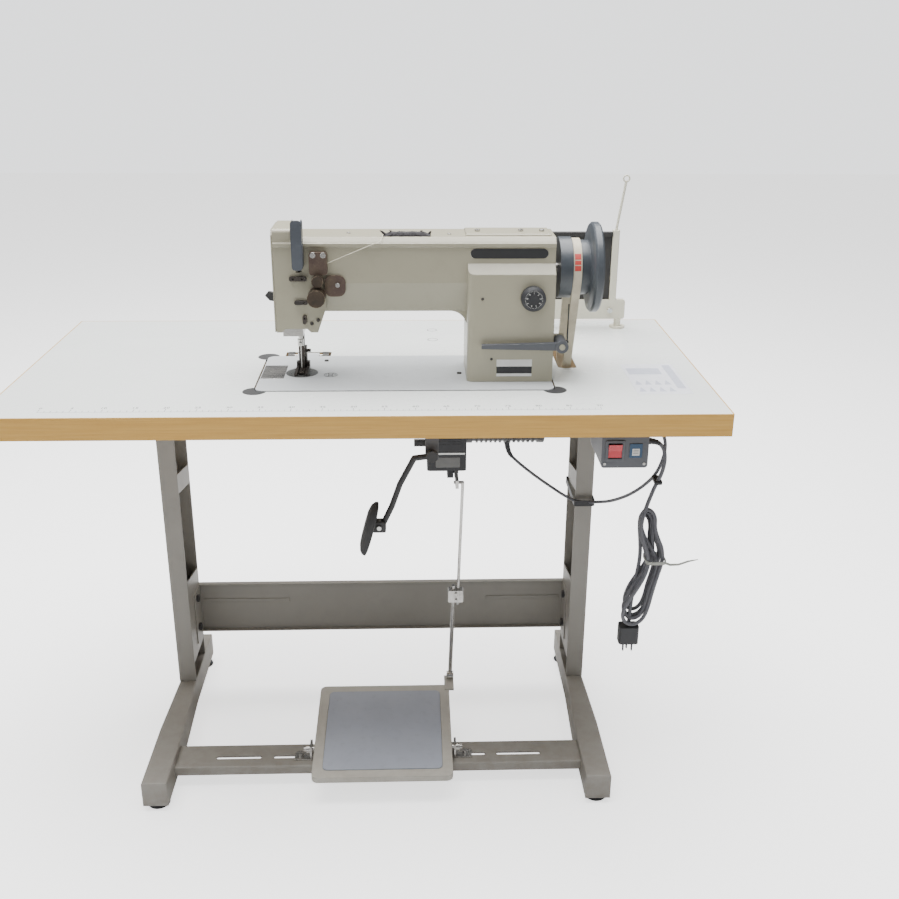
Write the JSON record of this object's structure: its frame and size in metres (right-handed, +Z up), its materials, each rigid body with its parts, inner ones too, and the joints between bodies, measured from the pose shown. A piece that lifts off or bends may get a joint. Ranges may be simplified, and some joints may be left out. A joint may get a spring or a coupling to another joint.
{
  "type": "leather sewing machine",
  "caption": "Long-arm walking-foot sewing machine for leather, let into a laminate table on a pressed-steel stand with pedal, knee lifter and motor.",
  "frame": {"origin": "on the floor under the middle of the tabletop", "axes": "+X to the operator's right along the table, -Y towards the operator, +Z up"},
  "size_m": [1.2, 0.6, 1.0715],
  "materials": {
    "laminate": "white laminate over board",
    "edge_band": "yellow wood edge band",
    "rubber": "matt black",
    "bright_steel": "bright steel",
    "stand_paint": "warm grey powder coat",
    "black_plastic": "moulded",
    "black_steel": "black oxide or paint",
    "motor_paint": "black paint",
    "belt_rubber": "cream woven belt",
    "cast_iron": "painted casting",
    "switch_plastic": "grey housing",
    "cable_jacket": "grey sheath",
    "cream_paint": "cream enamel",
    "pedal_casting": "grey hammered paint",
    "mat_rubber": "blue-grey mat",
    "wheel_casting": "slate enamel",
    "red_plastic": "translucent red",
    "bed_paint": "grey enamel",
    "head_paint": "warm beige-grey enamel",
    "guard_plastic": "slate plastic",
    "dark_nut": "blackened, knurled",
    "lever_paint": "dark grey",
    "thread": "waxed bonded thread"
  },
  "bodies": {
    "stand": {"tabletop": "laminate", "edge_band": "edge_band", "corner_cushions": "rubber", "table_hinges": "bright_steel", "legs": "stand_paint", "feet": "stand_paint", "leveling_glides": "black_plastic", "cross_panel": "stand_paint", "pedal_bar": "stand_paint", "stand_bolts": "black_steel", "pedal_brackets": "bright_steel", "motor_body": "motor_paint", "motor_bracket": "motor_paint", "control_box": "black_plastic", "v_belt": "belt_rubber", "oil_pan": "bright_steel", "knee_bracket": "cast_iron", "switch_box": "switch_plastic", "motor_lead": "cable_jacket", "mains_cord": "cable_jacket", "cord_hank": "cable_jacket", "plug": "black_plastic", "guard_frame": "cream_paint", "guard_panel": "black_steel"},
    "pedal": {"pedal_frame": "pedal_casting", "pedal_mat": "mat_rubber", "ball_stud": "bright_steel"},
    "pitman": {"pitman_rods": "bright_steel"},
    "treadle": {"treadle_lever": "bright_steel"},
    "knee": {"knee_rod": "black_steel", "knee_pad": "rubber"},
    "motor_rotor": {"motor_pulley": "wheel_casting"},
    "rocker": {"rocker_switch": "red_plastic"},
    "head": {"bed_plate": "bed_paint", "needle_plate": "bright_steel", "arm_casting": "head_paint", "face_plate": "head_paint", "top_cover": "head_paint", "thread_pad": "black_plastic", "take_up_guard": "guard_plastic", "tension_bracket": "bright_steel", "thread_guides": "bright_steel", "bar_guide": "bright_steel", "timing_belt": "belt_rubber", "top_thread": "thread"},
    "wheel": {"handwheel": "wheel_casting", "main_shaft": "bright_steel"},
    "hook": {"hook_shaft": "bright_steel"},
    "feed": {"feed_dog": "bright_steel"},
    "bobbin_slide": {"slide_plate": "bright_steel"},
    "take_up": {"take_up_lever": "bright_steel"},
    "pre_nut": {"pre_tension_nut": "dark_nut"},
    "main_nut": {"main_tension_nut": "dark_nut"},
    "dial": {"stitch_dial": "black_plastic"},
    "reverse": {"reverse_lever": "lever_paint"},
    "reverse_rod": {"reverse_link": "black_steel"},
    "lifter": {"hand_lifter": "black_steel"},
    "needle": {"needle_bar": "bright_steel"},
    "presser": {"presser_bar": "bright_steel"},
    "walking": {"walking_bar": "bright_steel"}
  },
  "joints": [
    {"name": "head_tilt", "type": "hinge", "parent": "stand", "child": "head", "pos_m": [0.074, 0.052, 0.761], "axis": [1, 0, 0], "range_deg": [-45, 0], "deforming": ["v_belt"]},
    {"name": "wheel_spin", "type": "hinge", "parent": "head", "child": "wheel", "pos_m": [0.366, -0.066, 0.953], "axis": [1, 0, 0], "continuous": true},
    {"name": "hook_spin", "type": "hinge", "parent": "head", "child": "hook", "pos_m": [0.074, -0.066, 0.728], "axis": [1, 0, 0], "continuous": true},
    {"name": "motor_spin", "type": "hinge", "parent": "stand", "child": "motor_rotor", "pos_m": [0.366, 0.056, 0.64], "axis": [1, 0, 0], "continuous": true},
    {"name": "pedal_tilt", "type": "hinge", "parent": "stand", "child": "pedal", "pos_m": [0.026, -0.205, 0.064], "axis": [1, 0, 0], "range_deg": [-5, 4], "stiffness_Nm_per_rad": 30, "springref_deg": 1.15},
    {"name": "pitman_swing", "type": "hinge", "parent": "pedal", "child": "pitman", "pos_m": [0.159, -0.008, 0.093], "axis": [1, 0, 0], "range_deg": [-5, 6]},
    {"name": "treadle_swing", "type": "hinge", "parent": "stand", "child": "treadle", "pos_m": [0.169, 0.028, 0.535], "axis": [1, 0, 0], "range_deg": [-14.5, 18]},
    {"name": "knee_lift", "type": "hinge", "parent": "stand", "child": "knee", "pos_m": [0.118, -0.238, 0.672], "axis": [0, 1, 0], "range_deg": [-20, 0], "stiffness_Nm_per_rad": 3, "springref_deg": 14.32},
    {"name": "needle_stroke", "type": "slide", "parent": "head", "child": "needle", "axis": [0, 0, 1], "range_m": [-0.033, 0]},
    {"name": "presser_lift", "type": "slide", "parent": "head", "child": "presser", "axis": [0, 0, 1], "range_m": [0, 0.013]},
    {"name": "walking_lift", "type": "slide", "parent": "head", "child": "walking", "axis": [0, 0, 1], "range_m": [0, 0.006]},
    {"name": "feed_travel", "type": "slide", "parent": "head", "child": "feed", "axis": [0, 1, 0], "range_m": [-0.003, 0.003]},
    {"name": "bobbin_slide_out", "type": "slide", "parent": "head", "child": "bobbin_slide", "axis": [1, 0, 0], "range_m": [-0.03, 0]},
    {"name": "take_up_swing", "type": "hinge", "parent": "head", "child": "take_up", "pos_m": [-0.102, -0.08, 0.99], "axis": [1, 0, 0], "range_deg": [-28, 25]},
    {"name": "pre_tension_turn", "type": "hinge", "parent": "head", "child": "pre_nut", "pos_m": [-0.07, -0.133, 0.944], "axis": [0, 1, 0], "range_deg": [-180, 180]},
    {"name": "main_tension_turn", "type": "hinge", "parent": "head", "child": "main_nut", "pos_m": [-0.0726, -0.14, 0.917], "axis": [0, 1, 0], "range_deg": [-180, 180]},
    {"name": "dial_turn", "type": "hinge", "parent": "head", "child": "dial", "pos_m": [0.29, -0.136, 0.914], "axis": [0, 1, 0], "range_deg": [0, 300]},
    {"name": "reverse_press", "type": "hinge", "parent": "head", "child": "reverse", "pos_m": [0.341, -0.13, 0.832], "axis": [0, 1, 0], "range_deg": [-10, 0], "stiffness_Nm_per_rad": 2, "springref_deg": 5.73},
    {"name": "reverse_rod_rise", "type": "slide", "parent": "head", "child": "reverse_rod", "axis": [0, 0, 1], "range_m": [0, 0.003]},
    {"name": "hand_lift", "type": "hinge", "parent": "head", "child": "lifter", "pos_m": [-0.13, -0.014, 0.886], "axis": [0, 1, 0], "range_deg": [0, 60]},
    {"name": "rocker_press", "type": "hinge", "parent": "stand", "child": "rocker", "pos_m": [0.416, -0.277, 0.695], "axis": [1, 0, 0], "range_deg": [-14, 0]}
  ],
  "couplings": [
    {"joint": "hook_spin", "follows": "wheel_spin", "ratio": 2},
    {"joint": "motor_spin", "follows": "wheel_spin", "ratio": 1.53},
    {"joint": "pitman_swing", "follows": "pedal_tilt", "ratio": -1.1},
    {"joint": "treadle_swing", "follows": "pedal_tilt", "ratio": -3.397},
    {"joint": "presser_lift", "follows": "knee_lift", "m_per_rad": -0.037056},
    {"joint": "reverse_rod_rise", "follows": "reverse_press", "m_per_rad": -0.0135}
  ]
}
